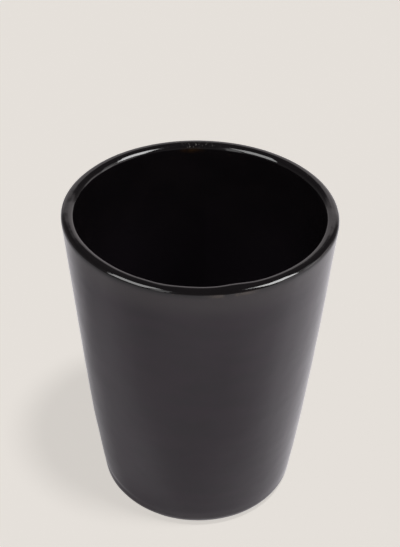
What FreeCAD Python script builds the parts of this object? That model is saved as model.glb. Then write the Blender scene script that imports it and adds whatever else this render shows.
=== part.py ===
import FreeCAD, Part
import math
import os

# Candle jar: a round stoneware tumbler that widens towards its rim, glazed inside and outside.
# Four pieces, all turned about the Z axis: the fired clay body and three fired glaze coats.
# Millimetres and degrees. The origin is the centre of the foot, on the surface the jar stands on.

# Driving dimensions
height = 100.0              # foot to rim
rim_radius = 40.4           # outer wall carried up to the rim's height, before the rim is rounded
draft = 5.0                 # lean of the upper wall from upright
belly_top = 54.0            # below this height the wall curves in towards the foot
belly_radius = 980.0        # of that long curve
wall_thickness = 3.75       # clay and both glazes
floor_height = 5.0          # inside floor above the foot
glaze = 0.4                 # thickness of each coat
rim_outer_round = 1.5
rim_inner_round = 2.0
heel_round = 4.4            # clay, between wall and foot
corner_round = 7.0          # inside, between wall and floor
seam_depth = 6.0            # the outer glaze wraps over the rim and this far down inside
glaze_stop = 52.0           # how far round the heel the outer glaze reaches, from level
foot_width = 3.2            # flat bare clay ring that the jar stands on
recess_depth = 1.5          # of the underside inside the foot ring
foot_inner_round = 0.7      # the ring's inner edge
base_glaze_margin = 0.8     # bare clay between the recess's edge and its glaze

# Places that follow from them. Every curve of the wall is concentric with its neighbours,
# so "inset" is always the depth under the glazed outer surface, measured square to the wall.
lean = math.radians(draft)
clay_inset = glaze
liner_back_inset = wall_thickness - glaze
foot_fillet = recess_depth - foot_inner_round


def spot(radius, level):
    """A point of the half section, radius from the axis and level above the foot."""
    return FreeCAD.Vector(radius, 0, level)


def around(centre, radius, angle):
    """The point at that distance from centre, angle in radians above level."""
    return centre + spot(radius * math.cos(angle), radius * math.sin(angle))


def line(start, end):
    return Part.LineSegment(start, end).toShape()


def arc(centre, radius, start_angle, end_angle):
    middle_angle = (start_angle + end_angle) / 2
    points = [around(centre, radius, a) for a in (start_angle, middle_angle, end_angle)]
    return Part.Arc(*points).toShape()


def wall_spot(level, inset):
    """A point of the straight upper wall, by its level."""
    return spot(rim_radius - (height - level) * math.tan(lean) - inset / math.cos(lean), level)


def square_spot(depth, inset):
    """A point of the straight wall, by its distance down the wall from the rim."""
    down = spot(-math.sin(lean), -math.cos(lean))
    inward = spot(-math.cos(lean), math.sin(lean))
    return spot(rim_radius, height) + down * depth + inward * inset


belly_centre = around(wall_spot(belly_top, 0), belly_radius, math.pi - lean)


def resting_round(inset, radius, level):
    """Centre and start angle of a round that runs from the belly curve to a level surface."""
    reach = belly_radius - inset - radius
    angle = -math.asin((belly_centre.z - level - radius) / reach)
    return around(belly_centre, reach, angle), angle


heel_centre, heel_angle = resting_round(clay_inset, heel_round, 0)
corner_centre, corner_angle = resting_round(wall_thickness, corner_round, floor_height)


def rim_run(inset, seam=None):
    """Over the rim from inside to outside. It starts at the seam, or where the inner wall does."""
    outer_centre = wall_spot(height - rim_outer_round, rim_outer_round)
    inner_centre = wall_spot(height - rim_inner_round, wall_thickness - rim_inner_round)
    outer_radius = rim_outer_round - inset
    inner_radius = rim_inner_round - inset
    inner_start = around(inner_centre, inner_radius, math.pi - lean)
    return [
        line(seam or belly_join(wall_thickness - inset), inner_start),
        arc(inner_centre, inner_radius, math.pi - lean, math.pi / 2),
        line(inner_centre + spot(0, inner_radius), outer_centre + spot(0, outer_radius)),
        arc(outer_centre, outer_radius, math.pi / 2, -lean),
        line(around(outer_centre, outer_radius, -lean), belly_join(inset)),
    ]


def belly_join(inset):
    """Where the straight wall meets the belly curve."""
    return around(belly_centre, belly_radius - inset, -lean)


def heel_run(inset, end_angle):
    """From the straight wall down round the heel."""
    radius = heel_round + clay_inset - inset
    return [
        arc(belly_centre, belly_radius - inset, -lean, heel_angle),
        arc(heel_centre, radius, heel_angle, end_angle),
    ]


def floor_run(inset):
    """From the straight inner wall down round the corner and across the floor to the axis."""
    radius = corner_round + wall_thickness - inset
    level = corner_centre.z - radius
    return [
        arc(belly_centre, belly_radius - inset, -lean, corner_angle),
        arc(corner_centre, radius, corner_angle, -math.pi / 2),
        line(spot(corner_centre.x, level), spot(0, level)),
    ]


def turned(edges):
    """The solid that a closed half section sweeps in one turn about Z."""
    section = Part.Face(Part.Wire(Part.__sortEdges__(edges)))
    return section.revolve(spot(0, 0), FreeCAD.Vector(0, 0, 1), 360)


def stoneware_body():
    """Fired clay: wall, floor, rim core and the bare foot ring round a shallow recess."""
    foot_outer = heel_centre.x
    foot_inner = foot_outer - foot_width
    edge_centre = spot(foot_inner, foot_inner_round)
    fillet_centre = spot(foot_inner - recess_depth, foot_inner_round)
    underside = [
        line(spot(foot_outer, 0), spot(foot_inner, 0)),
        arc(edge_centre, foot_inner_round, -math.pi / 2, -math.pi),
        arc(fillet_centre, foot_fillet, 0, math.pi / 2),
        line(spot(fillet_centre.x, recess_depth), spot(0, recess_depth)),
        line(spot(0, recess_depth), spot(0, floor_height - glaze)),
    ]
    outside = rim_run(clay_inset) + heel_run(clay_inset, -math.pi / 2)
    return turned(outside + underside + floor_run(liner_back_inset))


def outer_glaze():
    """Coat on the outside, over the rim and just inside it, wiped off short of the foot."""
    stop = -math.radians(glaze_stop)
    face_seam = square_spot(seam_depth, wall_thickness)
    back_seam = square_spot(seam_depth, liner_back_inset)
    face = rim_run(0, face_seam) + heel_run(0, stop)
    back = rim_run(clay_inset, back_seam) + heel_run(clay_inset, stop)
    lower_edge = line(
        around(heel_centre, heel_round + glaze, stop),
        around(heel_centre, heel_round, stop),
    )
    return turned(face + [lower_edge] + back + [line(back_seam, face_seam)])


def liner_glaze():
    """Coat on the inner wall and floor, which keeps wax out of the clay."""
    face_seam = square_spot(seam_depth, wall_thickness)
    back_seam = square_spot(seam_depth, liner_back_inset)
    face = [line(face_seam, belly_join(wall_thickness))] + floor_run(wall_thickness)
    back = [line(back_seam, belly_join(liner_back_inset))] + floor_run(liner_back_inset)
    axis = line(spot(0, floor_height - glaze), spot(0, floor_height))
    return turned(face + [axis] + back + [line(back_seam, face_seam)])


def base_glaze():
    """Patch of glaze on the recessed underside, with a rounded edge."""
    edge_radius = heel_centre.x - foot_width - recess_depth - base_glaze_margin
    round_centre = spot(edge_radius - glaze, recess_depth)
    face_level = recess_depth - glaze
    return turned([
        line(spot(0, face_level), spot(round_centre.x, face_level)),
        arc(round_centre, glaze, -math.pi / 2, 0),
        line(spot(edge_radius, recess_depth), spot(0, recess_depth)),
        line(spot(0, recess_depth), spot(0, face_level)),
    ])


os.makedirs("parts", exist_ok=True)
for make_piece in (stoneware_body, outer_glaze, liner_glaze, base_glaze):
    piece = make_piece()
    box = piece.BoundBox
    print(make_piece.__name__, piece.isValid(), "volume", round(piece.Volume), "mm3",
          "levels", round(box.ZMin, 2), round(box.ZMax, 2), "width", round(box.XLength, 2))
    piece.exportStep("parts/" + make_piece.__name__ + ".step")
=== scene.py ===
import math

import bpy
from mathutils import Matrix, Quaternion, Vector, noise


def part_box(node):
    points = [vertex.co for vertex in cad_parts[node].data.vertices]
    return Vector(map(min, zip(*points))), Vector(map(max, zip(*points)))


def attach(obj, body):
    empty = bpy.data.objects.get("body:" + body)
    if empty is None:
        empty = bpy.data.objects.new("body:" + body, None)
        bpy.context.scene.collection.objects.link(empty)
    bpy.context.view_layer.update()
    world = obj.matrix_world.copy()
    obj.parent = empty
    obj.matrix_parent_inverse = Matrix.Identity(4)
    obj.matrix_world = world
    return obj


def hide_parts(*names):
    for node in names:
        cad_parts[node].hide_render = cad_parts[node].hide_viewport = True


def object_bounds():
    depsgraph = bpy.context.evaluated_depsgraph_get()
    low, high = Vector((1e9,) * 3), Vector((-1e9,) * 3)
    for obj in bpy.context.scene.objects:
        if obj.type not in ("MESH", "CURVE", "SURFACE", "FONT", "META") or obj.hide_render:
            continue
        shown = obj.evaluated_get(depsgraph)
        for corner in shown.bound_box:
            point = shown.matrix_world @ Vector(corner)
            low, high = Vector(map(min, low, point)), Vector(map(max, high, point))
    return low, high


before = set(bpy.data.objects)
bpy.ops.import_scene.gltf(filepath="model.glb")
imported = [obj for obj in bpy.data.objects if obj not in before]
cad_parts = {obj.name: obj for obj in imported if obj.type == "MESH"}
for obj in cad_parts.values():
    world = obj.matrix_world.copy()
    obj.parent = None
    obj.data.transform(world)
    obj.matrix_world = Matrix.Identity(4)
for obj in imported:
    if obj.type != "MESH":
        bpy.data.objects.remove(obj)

cad_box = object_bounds()
mm = 0.001

# The jar's sizes, in metres. What the frame's own boxes tell is taken from them.
height = cad_box[1].z
glaze = 0.4 * mm
lean = math.radians(5.0)
rim_radius = 40.4 * mm
belly_top = 0.54 * height
belly_radius = 980 * mm
wall = 3.75 * mm
floor_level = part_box("liner_glaze")[0].z + glaze
rim_outer_round = 1.5 * mm
rim_inner_round = 2.0 * mm
heel_round = 4.4 * mm
corner_round = 7.0 * mm
seam_depth = 6.0 * mm
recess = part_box("base_glaze")[1].z
base_glaze_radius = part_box("base_glaze")[1].x
foot_width = 3.2 * mm
foot_inner_round = 0.7 * mm

# How far down round the heel the outer glaze goes, from level.
glaze_stop = math.radians(52)

# How finely the meshes are divided. Hidden faces lie against another piece.
around_steps = 384
face_spacing = 1.0 * mm
belly_spacing = 0.8 * mm
hidden_spacing = 4.0 * mm
largest_turn = math.radians(6)
heel_steps = 14
nose_steps = 8
hidden_heel_steps = 8
sharp_edge = math.radians(35)


# --- the half section: radius and level, as 2-D vectors -------------------------------------

def spot(radius, level):
    return Vector((radius, level))


def polar(centre, radius, angle):
    return centre + radius * spot(math.cos(angle), math.sin(angle))


def line(start, end, spacing):
    """Points from start up to, but not including, end."""
    steps = math.ceil((end - start).length / spacing)
    return [start.lerp(end, i / steps) for i in range(steps)]


def arc(centre, radius, start_angle, end_angle, spacing):
    """Points from the start up to, but not including, the end."""
    turn = end_angle - start_angle
    steps = math.ceil(max(abs(turn) * radius / spacing, abs(turn) / largest_turn))
    return [polar(centre, radius, start_angle + turn * i / steps) for i in range(steps)]


def wall_spot(level, inset):
    """A point of the tapered wall, inset square to its outer face."""
    return spot(rim_radius - (height - level) * math.tan(lean) - inset / math.cos(lean), level)


def square_spot(depth, inset):
    """A point at a depth along the wall from the rim, and an inset square to it."""
    down = spot(-math.sin(lean), -math.cos(lean))
    inward = spot(-math.cos(lean), math.sin(lean))
    return spot(rim_radius, height) + down * depth + inward * inset


belly_centre = polar(wall_spot(belly_top, 0), belly_radius, math.pi - lean)


def resting_round(inset, radius, level):
    """Centre and start angle of a round that runs from the belly curve to a level surface."""
    reach = belly_radius - inset - radius
    angle = -math.asin((belly_centre.y - level - radius) / reach)
    return polar(belly_centre, reach, angle), angle


heel_centre, heel_angle = resting_round(glaze, heel_round, 0)
corner_centre, corner_angle = resting_round(wall, corner_round, floor_level)


def belly_join(inset):
    return polar(belly_centre, belly_radius - inset, -lean)


def rim_run(inset, start, spacing):
    """From start, on the inner wall, over the rim to the top of the belly outside."""
    outer_centre = wall_spot(height - rim_outer_round, rim_outer_round)
    inner_centre = wall_spot(height - rim_inner_round, wall - rim_inner_round)
    outer_radius = rim_outer_round - inset
    inner_radius = rim_inner_round - inset
    inner_start = polar(inner_centre, inner_radius, math.pi - lean)
    inner_top = inner_centre + spot(0, inner_radius)
    outer_top = outer_centre + spot(0, outer_radius)
    outer_end = polar(outer_centre, outer_radius, -lean)
    return (
        line(start, inner_start, spacing)
        + arc(inner_centre, inner_radius, math.pi - lean, math.pi / 2, spacing)
        + line(inner_top, outer_top, spacing)
        + arc(outer_centre, outer_radius, math.pi / 2, -lean, spacing)
        + line(outer_end, belly_join(inset), spacing)
    )


def belly_run(inset, spacing):
    """From the top of the belly outside, down to the heel."""
    return arc(belly_centre, belly_radius - inset, -lean, heel_angle, spacing)


def floor_run(inset, spacing):
    """From the top of the belly inside, down round the corner to the middle of the floor."""
    radius = corner_round + wall - inset
    level = corner_centre.y - radius
    floor_edge = spot(corner_centre.x, level)
    return (
        arc(belly_centre, belly_radius - inset, -lean, corner_angle, spacing)
        + arc(corner_centre, radius, corner_angle, -math.pi / 2, spacing)
        + line(floor_edge, spot(0, level), spacing)
        + [spot(0, level)]
    )


# --- the small unevenness of a hand-finished jar ------------------------------------------------

def turned(point, angle):
    """The 3-D point where a section point lies once it is turned to an angle from +X."""
    return Vector((point.x * math.cos(angle), point.x * math.sin(angle), point.y))


def azimuth_of(place):
    """Degrees round the jar, from the front (-Y) towards +X."""
    return math.degrees(math.atan2(place.x, -place.y))


# The mouth is a little oval and three-sided, and leans. This fades towards the foot.
oval_depth = 0.197 * mm
widest_angle = math.radians(-47.9)
three_sided_depth = 0.028 * mm
fading_power = 1.5
mouth_shift = Vector((-0.13, 0.02, 0)) * mm


def uneven(point, angle):
    """The 3-D place of a section point turned to an angle, on a jar that isn't quite round."""
    share = point.y / height
    oval = oval_depth * math.cos(2 * (angle - widest_angle)) + three_sided_depth * math.sin(3 * angle)
    radius = point.x * (1 + oval / rim_radius * share ** fading_power)
    return turned(spot(radius, point.y), angle) + mouth_shift * share


def lump(distance, width):
    """A smooth bump: 1 in its middle and near 0 from two widths away."""
    return math.exp(-(distance / width) ** 2)


def lumps(azimuth, bumps):
    """The sum of bumps round the jar. Each has a middle and a width in degrees, and a height."""
    return sum(tall * lump(azimuth - middle, width) for middle, width, tall in bumps)


def ramp(value, start, end):
    """0 up to start, 1 from end, and even in between."""
    return min(max((value - start) / (end - start), 0), 1)


# The fired glaze's long and short waves, and the throwing rings that show through it. Each has a
# height, and a length along x, y and z, in millimetres.
wave_kinds = (
    (0.040, (9.0, 9.0, 9.0)),
    (0.018, (3.2, 3.2, 3.2)),
    (0.012, (50, 50, 3.0)),
)


def waves(place):
    relief = 0.0
    for tall, lengths in wave_kinds:
        counted = [part / (length * mm) for part, length in zip(place, lengths)]
        relief += tall * mm * noise.noise(Vector(counted))
    return relief


# Bumps of the outer glaze round the jar, for lumps(). Heights are in millimetres of glaze, but in
# rough_lip_bumps and wiped_bumps they are a share of full strength.
rough_lip_bumps = ((-12, 14, 0.7), (32, 14, 0.5))
mouth_bumps = ((-52, 15, 0.18), (-15, 6, -0.12), (15, 7, 0.34), (80, 12, 0.10))
wiped_bumps = ((-60, 22, 0.8),)
thin_heel_bumps = ((-50, 22, 0.20), (0, 22, 0.09))

# Broad, low swellings of the outer wall: azimuth and width in degrees, then level, reach up and
# down, and thickness in millimetres.
wall_swellings = (
    (-97, 14, 98, 5, 0.18),
    (80, 25, 67, 13, 0.15),
    (-80, 25, 28, 9, 0.12),
)


def rough_lip(place, azimuth):
    """Small unevenness where the glaze drew back from the lip's outer edge, most at the front."""
    near_lip = lump(place.z - (height - 1.6 * mm), 1.6 * mm)
    strength = 0.3 + lumps(azimuth, rough_lip_bumps)
    return 0.045 * mm * strength * near_lip * noise.noise(place / (1.5 * mm))


def mouth_swelling(place, azimuth):
    """The glaze lies thicker inside the mouth's edge, more so in some places than in others."""
    inward = rim_radius - math.hypot(place.x, place.y)
    inside = ramp(inward, 1.8 * mm, 3.2 * mm)
    high = ramp(place.z, height - seam_depth, height - 2.5 * mm)
    thickness = 0.13 + lumps(azimuth, mouth_bumps)
    return thickness * mm * inside * high


def wiped_dip(place, azimuth):
    """A shallow dip above the heel, where a sponge left the glaze thinner."""
    wandering = 0.5 * noise.noise(Vector((azimuth / 25, 0, 0)))
    level = (7.3 - 2.7 * ramp(azimuth, -80, -35) + wandering) * mm
    strength = 0.2 + lumps(azimuth, wiped_bumps)
    return -0.20 * mm * strength * lump(place.z - level, 0.8 * mm)


def thick_spots(place, azimuth):
    """The outer wall's swellings, and nothing inside the mouth."""
    edge = wall_spot(place.z, 0).x
    outside = ramp(math.hypot(place.x, place.y), edge - 2.5 * mm, edge - 1.2 * mm)
    thickness = 0.0
    for middle, width, level, reach, extra in wall_swellings:
        thickness += extra * lump(azimuth - middle, width) * lump(place.z - level * mm, reach * mm)
    return thickness * mm * outside


def thin_heel(azimuth):
    """How much thinner the wiping has left the glaze on the heel."""
    return lumps(azimuth, thin_heel_bumps) * mm


def outer_relief(place):
    """All the unevenness of the outer glaze."""
    azimuth = azimuth_of(place)
    lip = mouth_swelling(place, azimuth) + rough_lip(place, azimuth)
    wiped = wiped_dip(place, azimuth) - thin_heel(azimuth) * ramp(place.z, 3.2 * mm, 1.4 * mm)
    return waves(place) + thick_spots(place, azimuth) + lip + wiped


def with_relief(face, angle, relief):
    """Moves the points of a glazed face, whose free side is on the left, by the relief."""
    moved = []
    for i, point in enumerate(face):
        along = (face[min(i + 1, len(face) - 1)] - face[max(i - 1, 0)]).normalized()
        outward = spot(-along.y, along.x)
        moved.append(point + outward * relief(turned(point, angle)))
    return moved


def glaze_end(angle):
    """The heel angle where the outer glaze ends. Dipping and wiping leave it a little ragged."""
    around = turned(spot(1, 0), angle)
    ragged_degrees = 3.0 + 4.0 * noise.noise(around * 3) + 5.0 * noise.noise(around * 26)
    wiped_degrees = 8.0 * lump(azimuth_of(around) + 18, 12)
    return -glaze_stop - math.radians(ragged_degrees - wiped_degrees)


# --- meshes -----------------------------------------------------------------------------------

def new_piece(name, points, faces):
    mesh = bpy.data.meshes.new(name)
    mesh.from_pydata(points, [], faces)
    mesh.validate()
    mesh.shade_smooth()
    mesh.set_sharp_from_angle(angle=sharp_edge)
    piece = bpy.data.objects.new(name, mesh)
    bpy.context.scene.collection.objects.link(piece)
    return piece


def lathe(name, section_at, closed):
    """Turns a half section about Z. section_at(angle) gives its points, as many at every angle.
    A closed section is a ring clear of the axis; an open one starts and ends on the axis."""
    angles = [2 * math.pi * i / around_steps for i in range(around_steps)]
    sections = [section_at(angle) for angle in angles]
    rings = sections if closed else [section[1:-1] for section in sections]
    count = len(rings[0])
    points = [uneven(p, angle) for ring, angle in zip(rings, angles) for p in ring]
    faces = []
    for i in range(around_steps):
        here = i * count
        there = (i + 1) % around_steps * count
        for j in range(count if closed else count - 1):
            k = (j + 1) % count
            faces.append((here + j, here + k, there + k, there + j))
    if not closed:
        start_pole = len(points)
        end_pole = start_pole + 1
        points += [uneven(sections[0][0], 0), uneven(sections[0][-1], 0)]
        for i in range(around_steps):
            here = i * count
            there = (i + 1) % around_steps * count
            faces.append((start_pole, here, there))
            faces.append((end_pole, there + count - 1, here + count - 1))
    return new_piece(name, points, faces)


def even_arc(centre, radius, start_angle, end_angle, steps):
    """Points of an arc in a set number of steps, for an arc whose length varies round the jar."""
    turn = end_angle - start_angle
    return [polar(centre, radius, start_angle + turn * i / steps) for i in range(steps)]


def outer_coat_section(angle):
    """The free face over the rim and down the outside, a round nose at the heel, and the back."""
    stop = glaze_end(angle)
    face = (
        rim_run(0, square_spot(seam_depth, wall), face_spacing)
        + belly_run(0, belly_spacing)
        + even_arc(heel_centre, heel_round + glaze, heel_angle, stop, heel_steps)
    )
    half_thick = (glaze - thin_heel(azimuth_of(turned(spot(1, 0), angle)))) / 2
    nose_centre = polar(heel_centre, heel_round + half_thick, stop)
    nose = even_arc(nose_centre, half_thick, stop, stop - math.pi, nose_steps)
    back = (
        rim_run(glaze, square_spot(seam_depth, wall - glaze), hidden_spacing)
        + belly_run(glaze, hidden_spacing)
        + even_arc(heel_centre, heel_round, heel_angle, stop, hidden_heel_steps)
    )
    return with_relief(face, angle, outer_relief) + nose + back[::-1]


def liner_half(inset, spacing):
    """From the seam below the rim, down the inside to the middle of the floor."""
    seam = square_spot(seam_depth, inset)
    return line(seam, belly_join(inset), spacing) + floor_run(inset, spacing)


def liner_section(angle):
    face = liner_half(wall, face_spacing)
    shown = with_relief(face[::-1], angle, waves)
    shown[0] = face[-1]
    return shown + liner_half(wall - glaze, hidden_spacing)


def body_section(angle):
    foot_outer = heel_centre.x
    foot_inner = foot_outer - foot_width
    edge_centre = spot(foot_inner, foot_inner_round)
    fillet_centre = spot(foot_inner - recess, foot_inner_round)
    fillet = recess - foot_inner_round
    inside = floor_run(wall - glaze, hidden_spacing)[::-1]
    over_rim = rim_run(glaze, belly_join(wall - glaze), hidden_spacing)
    heel = arc(heel_centre, heel_round, heel_angle, -math.pi / 2, hidden_spacing)
    underside = (
        line(spot(foot_outer, 0), spot(foot_inner, 0), face_spacing)
        + arc(edge_centre, foot_inner_round, -math.pi / 2, -math.pi, face_spacing)
        + arc(fillet_centre, fillet, 0, math.pi / 2, face_spacing)
        + line(spot(fillet_centre.x, recess), spot(0, recess), face_spacing)
        + [spot(0, recess)]
    )
    return inside + over_rim + belly_run(glaze, hidden_spacing) + heel + underside


def base_patch_section(angle):
    centre = spot(base_glaze_radius - glaze, recess)
    return (
        line(spot(0, recess - glaze), spot(centre.x, recess - glaze), face_spacing)
        + arc(centre, glaze, -math.pi / 2, 0, face_spacing)
        + line(spot(base_glaze_radius, recess), spot(0, recess), hidden_spacing)
        + [spot(0, recess)]
    )


# --- materials --------------------------------------------------------------------------------

def add_node(tree, kind, inputs, **settings):
    """Adds a shader node with its settings. An input is linked to a socket, or set to a value."""
    node = tree.nodes.new("ShaderNode" + kind)
    for name, value in settings.items():
        setattr(node, name, value)
    for name, value in inputs.items():
        if isinstance(value, bpy.types.NodeSocket):
            tree.links.new(value, node.inputs[name])
        else:
            node.inputs[name].default_value = value
    return node


def new_material(name):
    material = bpy.data.materials.new(name)
    material.use_nodes = True
    return material, material.node_tree, material.node_tree.nodes["Principled BSDF"]


def place_of(tree):
    """The surface point in the jar's own frame, in metres."""
    return add_node(tree, "TexCoord", {}).outputs["Object"]


def number(tree, operation, *values):
    """The result of a Math node. Each value is a socket or a number."""
    return add_node(tree, "Math", dict(enumerate(values)), operation=operation).outputs[0]


def vector_math(tree, operation, first, second):
    return add_node(tree, "VectorMath", {0: first, 1: second}, operation=operation).outputs["Vector"]


def length_of(tree, vector):
    return add_node(tree, "VectorMath", {0: vector}, operation="LENGTH").outputs["Value"]


def in_steps(tree, steps):
    """The surface point, counted in a step for each axis."""
    return vector_math(tree, "MULTIPLY", place_of(tree), [1 / step for step in steps])


def cloud(tree, *steps, detail=2.0):
    """Noise of one size, or of a size for each axis. It is mostly between 0.3 and 0.7."""
    vector = in_steps(tree, steps * 3 if len(steps) == 1 else steps)
    inputs = {"Vector": vector, "Scale": 1.0, "Detail": detail}
    return add_node(tree, "TexNoise", inputs).outputs["Fac"]


def between(tree, value, start, end, low=0.0, high=1.0):
    """A smooth change from low to high as the value goes from start to end."""
    inputs = {"Value": value, "From Min": start, "From Max": end, "To Min": low, "To Max": high}
    return add_node(tree, "MapRange", inputs, interpolation_type="SMOOTHSTEP").outputs["Result"]


def soft_cloud(tree, *steps, detail=2.0):
    """Noise that goes softly all the way from 0 to 1."""
    return between(tree, cloud(tree, *steps, detail=detail), 0.35, 0.65)


def product(tree, *factors):
    result = factors[0]
    for factor in factors[1:]:
        result = number(tree, "MULTIPLY", result, factor)
    return result


def dots(tree, spacing, radius, share):
    """A mask of round dots, of about radius, in a share of the cells that are a spacing apart."""
    inputs = {"Vector": in_steps(tree, (spacing,) * 3), "Scale": 1.0}
    cells = add_node(tree, "TexVoronoi", inputs)
    outer = radius / spacing
    core = 0.4 * outer
    dot = between(tree, cells.outputs["Distance"], outer, core)
    softness = 0.01
    chosen = between(tree, cells.outputs["Color"], share + softness, share)
    return product(tree, dot, chosen)


def blended(tree, share, first, second):
    """The first colour, changing to the second as share goes from 0 to 1."""
    mix = add_node(tree, "Mix", {"Factor": share}, data_type="RGBA")
    for name, colour in (("A", first), ("B", second)):
        socket = next(s for s in mix.inputs if s.name == name and s.type == "RGBA")
        if isinstance(colour, bpy.types.NodeSocket):
            tree.links.new(colour, socket)
        else:
            socket.default_value = (*colour, 1)
    return next(s for s in mix.outputs if s.type == "RGBA")


def raised(tree, shader, layers):
    """Gives a shader bumps. Each layer has a height from 0 to 1 and what 1 is worth in metres."""
    normal = None
    for height_socket, depth in layers:
        inputs = {"Height": height_socket, "Distance": depth}
        if normal:
            inputs["Normal"] = normal
        normal = add_node(tree, "Bump", inputs).outputs["Normal"]
    tree.links.new(normal, shader.inputs["Normal"])


def level_of(tree):
    return add_node(tree, "SeparateXYZ", {0: place_of(tree)}).outputs["Z"]


def near_spot(tree, middle, far, close, flatter=1.0):
    """A mask: 1 up to close from a spot in the jar's frame, and 0 beyond far. Up and down, both
    distances are flatter times shorter."""
    offset = vector_math(tree, "SUBTRACT", place_of(tree), middle)
    distance = length_of(tree, vector_math(tree, "MULTIPLY", offset, (1, 1, flatter)))
    return between(tree, distance, far, close)


def radius_of(tree):
    """The surface point's distance from the jar's axis."""
    return length_of(tree, vector_math(tree, "MULTIPLY", place_of(tree), (1, 1, 0)))


def plain_black(tree):
    """Black that clouds a little."""
    darker, paler = (0.0032, 0.0026, 0.0031), (0.0040, 0.0032, 0.0037)
    return blended(tree, soft_cloud(tree, 11 * mm), darker, paler)


def deep_black(tree):
    """The liner's colour: black, with painted light that makes it a little greyer low down."""
    deep = between(tree, level_of(tree), height - 8 * mm, height - 60 * mm)
    # Painted light: a paler grey low inside the liner, where little light reaches.
    painted_light_grey = (0.0070, 0.0056, 0.0076)
    return blended(tree, deep, plain_black(tree), painted_light_grey)


def outer_face_mask(tree):
    """1 on the outer wall, and 0 on the rim's top and inside the mouth."""
    untapered = number(tree, "MULTIPLY_ADD", level_of(tree), -math.tan(lean), radius_of(tree))
    outer_face = rim_radius - height * math.tan(lean)
    return between(tree, untapered, outer_face - 2.6 * mm, outer_face - 1.8 * mm)


def band(tree, top, full_top, full_end, end):
    """A mask between two depths below the rim: 0 at top and end, and 1 between the full depths."""
    level = level_of(tree)
    upper = between(tree, level, height - top, height - full_top)
    lower = between(tree, level, height - end, height - full_end)
    return product(tree, upper, lower)


def plum_wall(tree):
    """Black on the lip, with a wispy plum cast on the outer wall."""
    below_lip = between(tree, level_of(tree), height - 1.5 * mm, height - 6.0 * mm)
    wisps = soft_cloud(tree, 14 * mm, 14 * mm, 3.5 * mm, detail=3.0)
    dark_plum, pale_plum = (0.0046, 0.0009, 0.0038), (0.0080, 0.0020, 0.0066)
    plum = blended(tree, wisps, dark_plum, pale_plum)
    return blended(tree, product(tree, outer_face_mask(tree), below_lip), plain_black(tree), plum)


def with_pale_band(tree, colour):
    """Paler on the outer wall just below the lip: a painted warm highlight."""
    levels = band(tree, top=1.0 * mm, full_top=2.9 * mm, full_end=3.6 * mm, end=11.0 * mm)
    # Painted highlight: a paler warm band on the outer wall just below the lip.
    painted_highlight_grey = (0.0205, 0.0155, 0.0175)
    return blended(tree, product(tree, outer_face_mask(tree), levels), colour, painted_highlight_grey)


def with_worn_heel(tree, colour):
    """Paler in patches at the heel, where the glaze was wiped."""
    thin = between(tree, level_of(tree), 6.5 * mm, 1.5 * mm, 0.0, 0.9)
    patchy = between(tree, cloud(tree, 5 * mm, 5 * mm, 2.5 * mm), 0.38, 0.60, 0.3, 1.0)
    worn_grey = (0.034, 0.028, 0.030)
    return blended(tree, product(tree, thin, patchy), colour, worn_grey)


def with_lip_run(tree, colour):
    """A paler brown run just below the lip, at the front right."""
    middle = (9 * mm, -39.1 * mm, height - 1.5 * mm)
    near = near_spot(tree, middle, far=9 * mm, close=3 * mm)
    levels = band(tree, top=0.8 * mm, full_top=1.2 * mm, full_end=1.6 * mm, end=2.4 * mm)
    patchy = between(tree, cloud(tree, 2.4 * mm), 0.30, 0.55)
    grey_brown = (0.042, 0.032, 0.027)
    return blended(tree, product(tree, near, levels, patchy), colour, grey_brown)


def with_lip_grains(tree, colour):
    """Fine brown grains just below the lip, at the front left."""
    middle = (-7 * mm, -39.2 * mm, height - 2.0 * mm)
    near = near_spot(tree, middle, far=9 * mm, close=4 * mm)
    levels = band(tree, top=0.9 * mm, full_top=1.2 * mm, full_end=2.0 * mm, end=2.5 * mm)
    grains = dots(tree, spacing=0.7 * mm, radius=0.22 * mm, share=0.7)
    brown = (0.036, 0.026, 0.020)
    return blended(tree, product(tree, near, levels, grains), colour, brown)


def with_iron_smear(tree, colour):
    """A faint brown smear of iron inside the mouth, at the back."""
    middle = (-3.0 * mm, 36.0 * mm, height - 1.9 * mm)
    near = near_spot(tree, middle, far=5.0 * mm, close=0.2 * mm, flatter=4.0)
    patchy = between(tree, cloud(tree, 1.4 * mm), 0.35, 0.60, 0.2, 0.7)
    rust = (0.021, 0.010, 0.003)
    return blended(tree, product(tree, near, patchy), colour, rust)


def plum_black(tree):
    """The outer glaze's colour: plum black, with what firing and wiping left on it, and a
    painted highlight below the lip.
    """
    colour = plum_wall(tree)
    for mark in (with_pale_band, with_worn_heel, with_lip_run, with_lip_grains, with_iron_smear):
        colour = mark(tree, colour)
    return colour


def lip_scratches(tree):
    """A mask of short scratches and nicks on the lip, at the back."""
    fine = between(tree, cloud(tree, 0.45 * mm, 0.8 * mm, 0.8 * mm), 0.59, 0.68)
    near = near_spot(tree, (-0.8 * mm, 38.2 * mm, height), far=9 * mm, close=2 * mm)
    crest = between(tree, level_of(tree), height - 1.3 * mm, height - 0.7 * mm)
    return product(tree, fine, near, crest)


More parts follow.
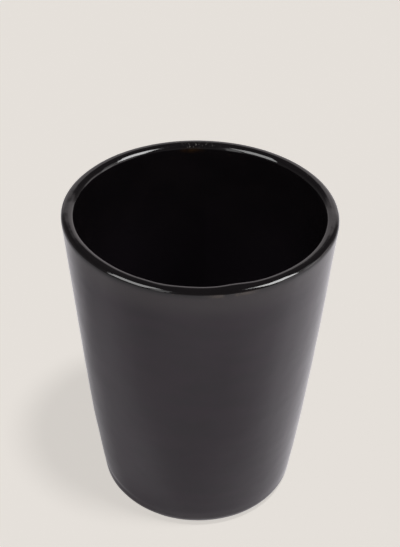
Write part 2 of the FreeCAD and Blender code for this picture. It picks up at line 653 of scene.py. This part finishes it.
def black_glaze(name, tone, smooth, dull):
    """Black gloss glaze with specks, pinholes, a few scratches and the fine ripple of a fired
    surface. Its roughness goes from smooth to dull in patches. tone(tree) gives its colour."""
    material, tree, shader = new_material(name)
    specks = dots(tree, spacing=2.3 * mm, radius=0.20 * mm, share=0.5)
    pinholes = dots(tree, spacing=4.1 * mm, radius=0.25 * mm, share=0.6)
    scratches = lip_scratches(tree)
    speck_brown, scratch_grey = (0.022, 0.016, 0.013), (0.060, 0.056, 0.052)
    specked = blended(tree, specks, tone(tree), speck_brown)
    tree.links.new(blended(tree, scratches, specked, scratch_grey), shader.inputs["Base Color"])
    wiped = between(tree, cloud(tree, 9 * mm, 9 * mm, 4 * mm, detail=4.0), 0.35, 0.68, smooth, dull)
    scratch_roughness = 0.3
    worn = number(tree, "MULTIPLY_ADD", scratches, scratch_roughness, wiped)
    tree.links.new(worn, shader.inputs["Roughness"])
    shader.inputs["IOR"].default_value = 1.58
    raised(tree, shader, (
        (cloud(tree, 1.5 * mm), 0.010 * mm),
        (cloud(tree, 0.5 * mm), 0.0015 * mm),
        (specks, 0.010 * mm),
        (pinholes, -0.03 * mm),
    ))
    return material


def clay():
    """Bare fired stoneware: buff, grainy, with iron specks and faint turning rings."""
    material, tree, shader = new_material("clay")
    buff, pale = (0.43, 0.35, 0.27), (0.52, 0.45, 0.36)
    dark_grain, iron = (0.33, 0.25, 0.18), (0.11, 0.055, 0.03)
    ring_spacing = 0.9 * mm
    grain = cloud(tree, 0.45 * mm, detail=4.0)
    toned = blended(tree, soft_cloud(tree, 7 * mm), buff, pale)
    grained = blended(tree, between(tree, grain, 0.40, 0.75, 0.0, 0.45), toned, dark_grain)
    specks = dots(tree, spacing=1.4 * mm, radius=0.22 * mm, share=0.35)
    tree.links.new(blended(tree, specks, grained, iron), shader.inputs["Base Color"])
    tree.links.new(between(tree, grain, 0.3, 0.7, 0.72, 0.92), shader.inputs["Roughness"])
    rings = number(tree, "SINE", product(tree, radius_of(tree), 2 * math.pi / ring_spacing))
    raised(tree, shader, (
        (rings, 0.006 * mm),
        (grain, 0.05 * mm),
        (cloud(tree, 1.6 * mm), 0.04 * mm),
    ))
    return material


floor_colour = (0.783, 0.745, 0.701)


def matt_sheet(name, tone, glow):
    """A matt sheet that also glows like a light table. tone(tree) gives its colour."""
    material, tree, shader = new_material(name)
    colour = tone(tree)
    tree.links.new(colour, shader.inputs["Base Color"])
    tree.links.new(colour, shader.inputs["Emission Color"])
    shader.inputs["Roughness"].default_value = 1.0
    shader.inputs["Specular IOR Level"].default_value = 0.0
    shader.inputs["Emission Strength"].default_value = glow
    return material


def paper_tone(tree):
    """Pale paper with a hardly visible grain."""
    grain = between(tree, cloud(tree, 0.8 * mm, detail=3.0), 0.3, 0.7)
    fainter = tuple(0.985 * part for part in floor_colour)
    return blended(tree, grain, fainter, floor_colour)


def mirrored_painted_light(tree):
    """Painted light and shade on the mirrored floor: paler to the right and beside the foot, darker
    before the jar and far behind it.
    """
    place = place_of(tree)
    x, y, z = add_node(tree, "SeparateXYZ", {0: place}).outputs
    # Painted light: paler towards the right, darker towards the left.
    across = between(tree, x, -250 * mm, 250 * mm, 0.56, 0.96)
    # Painted shade just before the jar, then painted light farther before it.
    painted_shade_before = between(tree, y, -20 * mm, -60 * mm, 1.0, 0.86)
    painted_light_far_before = between(tree, y, -75 * mm, -125 * mm, 1.0, 1.07)
    # Painted shade: darker far behind the jar.
    behind = between(tree, y, 120 * mm, 500 * mm, 1.0, 0.45)
    # Painted light: paler right beside the foot.
    painted_light_by_foot = between(tree, length_of(tree, place), 28 * mm, 36 * mm, 1.25, 0.97)
    tone = product(tree, across, painted_shade_before, painted_light_far_before, behind, painted_light_by_foot)
    black, pinkish_white = (0, 0, 0), (0.985, 0.950, 0.990)
    return blended(tree, tone, black, pinkish_white)


# --- the pieces -------------------------------------------------------------------------------

outer_glaze_coat = lathe("outer_glaze_coat", outer_coat_section, closed=True)
liner_glaze_coat = lathe("liner_glaze_coat", liner_section, closed=False)
clay_body = lathe("clay_body", body_section, closed=False)
base_glaze_patch = lathe("base_glaze_patch", base_patch_section, closed=False)

gloss = black_glaze("outer_black_glaze", plum_black, smooth=0.07, dull=0.12)
liner_gloss = black_glaze("inner_black_glaze", deep_black, smooth=0.04, dull=0.08)
bare_clay = clay()

pieces = (
    (outer_glaze_coat, "outer_glaze", "outer_black_glaze", gloss),
    (liner_glaze_coat, "liner_glaze", "inner_black_glaze", liner_gloss),
    (clay_body, "stoneware_body", "bare_clay", bare_clay),
    (base_glaze_patch, "base_glaze", "outer_black_glaze", gloss),
)
for piece, node, slot, material in pieces:
    piece.data.materials.append(material)
    piece.visible_diffuse = False
    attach(piece, "root")
    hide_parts(node)


# --- the stage --------------------------------------------------------------------------------

scene = bpy.context.scene
scene.view_settings.view_transform = "Standard"


def new_floor(name, material, level=0.0):
    half_width = 6.0
    mesh = bpy.data.meshes.new(name)
    corners = [
        (x * half_width, y * half_width, level)
        for x, y in ((-1, -1), (1, -1), (1, 1), (-1, 1))
    ]
    mesh.from_pydata(corners, [], [(0, 1, 2, 3)])
    mesh.materials.append(material)
    floor = bpy.data.objects.new(name, mesh)
    scene.collection.objects.link(floor)
    return floor


def lit_only(name, objects):
    """A collection for light linking: a lamp given it lights only these objects."""
    group = bpy.data.collections.new(name)
    for obj in objects:
        group.objects.link(obj)
    return group


# The camera sees one floor, and the glaze mirrors another, lit by lamps of its own and glowing with
# painted light and shade. The mirrored one lies slightly higher, so that the two don't share a place.
shown_glow = 0.819
mirrored_glow = 0.25
mirrored_level = 0.1 * mm

shown_floor = new_floor("shown_floor", matt_sheet("shown_floor", paper_tone, shown_glow))
shown_floor.visible_glossy = False
mirrored_sheet = matt_sheet("mirrored_floor", mirrored_painted_light, mirrored_glow)
mirrored_floor = new_floor("mirrored_floor", mirrored_sheet, mirrored_level)
mirrored_floor.visible_camera = False
mirrored_floor.visible_diffuse = False
mirrored_floor.visible_shadow = False

shown_only = lit_only("shown_only", [shown_floor])
mirrored_only = lit_only("mirrored_only", [mirrored_floor])
jar_only = lit_only("jar_only", [piece for piece, node, slot, material in pieces])


def look_from(obj, target, azimuth, elevation, distance, roll=0.0):
    """Puts obj at a distance from target, turned to it. Azimuth 0 is in front, on -Y, and 90 is
    on +X. Angles are in degrees."""
    a, e = math.radians(azimuth), math.radians(elevation)
    back = Vector((math.sin(a) * math.cos(e), -math.cos(a) * math.cos(e), math.sin(e)))
    obj.location = target + back * distance
    obj.rotation_mode = "QUATERNION"
    obj.rotation_quaternion = back.to_track_quat("Z", "Y") @ Quaternion((0, 0, 1), math.radians(roll))


jar_middle = Vector((0, 0, height / 2))


def new_lamp(name, kind, azimuth, elevation, distance, receivers):
    lamp = bpy.data.objects.new(name, bpy.data.lights.new(name, kind))
    scene.collection.objects.link(lamp)
    look_from(lamp, jar_middle, azimuth, elevation, distance)
    lamp.light_linking.receiver_collection = receivers
    return lamp


def floor_light(name, floor, azimuth, elevation, spread, share):
    """A distant light, spread degrees across. It adds share times the floor's colour to the floor's
    brightness."""
    lamp = new_lamp(name, "SUN", azimuth, elevation, 1.0, floor)
    lamp.data.angle = math.radians(spread)
    lamp.data.energy = share * math.pi / math.sin(math.radians(elevation))


def soft_box(name, azimuth, elevation, width, tall, radiance):
    """A soft box for the jar, width and tall degrees across as the jar sees it."""
    distance = 0.8
    lamp = new_lamp(name, "AREA", azimuth, elevation, distance, jar_only)
    lamp.visible_camera = False
    lamp.data.shape = "RECTANGLE"
    lamp.data.size = 2 * distance * math.tan(math.radians(width / 2))
    lamp.data.size_y = 2 * distance * math.tan(math.radians(tall / 2))
    lamp.data.energy = radiance * math.pi * lamp.data.size * lamp.data.size_y
    return lamp


floor_light("high_light", shown_only, azimuth=52, elevation=76, spread=8.5, share=0.177)
floor_light("left_light", shown_only, azimuth=-80, elevation=55, spread=30, share=0.014)
floor_light("mirrored_right", mirrored_only, azimuth=80, elevation=25, spread=40, share=0.43)
floor_light("mirrored_back_left", mirrored_only, azimuth=-160, elevation=40, spread=40, share=0.20)
floor_light("mirrored_back_right", mirrored_only, azimuth=140, elevation=40, spread=40, share=0.16)
soft_box("right_box", azimuth=67.5, elevation=41, width=26, tall=30, radiance=10.0)
soft_box("right_card", azimuth=92, elevation=20, width=14, tall=34, radiance=0.7)
soft_box("left_box", azimuth=-57, elevation=38, width=31, tall=32, radiance=4.6)
soft_box("left_card", azimuth=-30, elevation=24, width=12, tall=34, radiance=1.3)
inside_fill = soft_box("inside_fill", azimuth=0, elevation=88, width=60, tall=60, radiance=1.4)
inside_fill.visible_glossy = False


def studio_world():
    """A pale backdrop behind the jar, a pale side on its right and a dim room, as the rim and the
    inside mirror them. Each is placed by x, y and z, the parts of the direction looked in."""
    world = bpy.data.worlds.new("studio")
    world.use_nodes = True
    tree = world.node_tree
    towards = add_node(tree, "TexCoord", {}).outputs["Generated"]
    x, y, z = add_node(tree, "SeparateXYZ", {0: towards}).outputs
    room = between(tree, z, 0.1, 0.6, 0.16, 0.08)
    backdrop_tone = between(tree, x, -0.45, 0.35, 0.50, 0.80)
    behind = between(tree, y, 0.72, 0.84)
    below_top_edge = between(tree, z, 0.61, 0.54)
    backdrop = product(tree, backdrop_tone, behind, below_top_edge)
    right_side = product(tree, between(tree, x, 0.82, 0.92), between(tree, z, 0.35, 0.25))
    brightness = number(tree, "ADD", number(tree, "ADD", room, backdrop), right_side)
    black, pinkish_white = (0, 0, 0), (1.0, 0.930, 0.945)
    mirrored = blended(tree, brightness, black, pinkish_white)
    camera_sees = add_node(tree, "LightPath", {}).outputs["Is Camera Ray"]
    colour = blended(tree, camera_sees, mirrored, floor_colour)
    tree.links.new(colour, tree.nodes["Background"].inputs["Color"])
    return world


scene.world = studio_world()
scene.world.cycles_visibility.diffuse = False


def photo_camera():
    """The camera of the photo: in front of the jar, looking down at its upper part."""
    camera = bpy.data.objects.new("camera", bpy.data.cameras.new("camera"))
    scene.collection.objects.link(camera)
    camera.data.lens = 82.27
    camera.data.sensor_width = 36
    camera.data.clip_start = 10 * mm
    target = Vector((0.042 * mm, 0, 0.76795 * height))
    look_from(camera, target, azimuth=0, elevation=36.217, distance=375.5 * mm, roll=0.833)
    return camera


scene.camera = photo_camera()
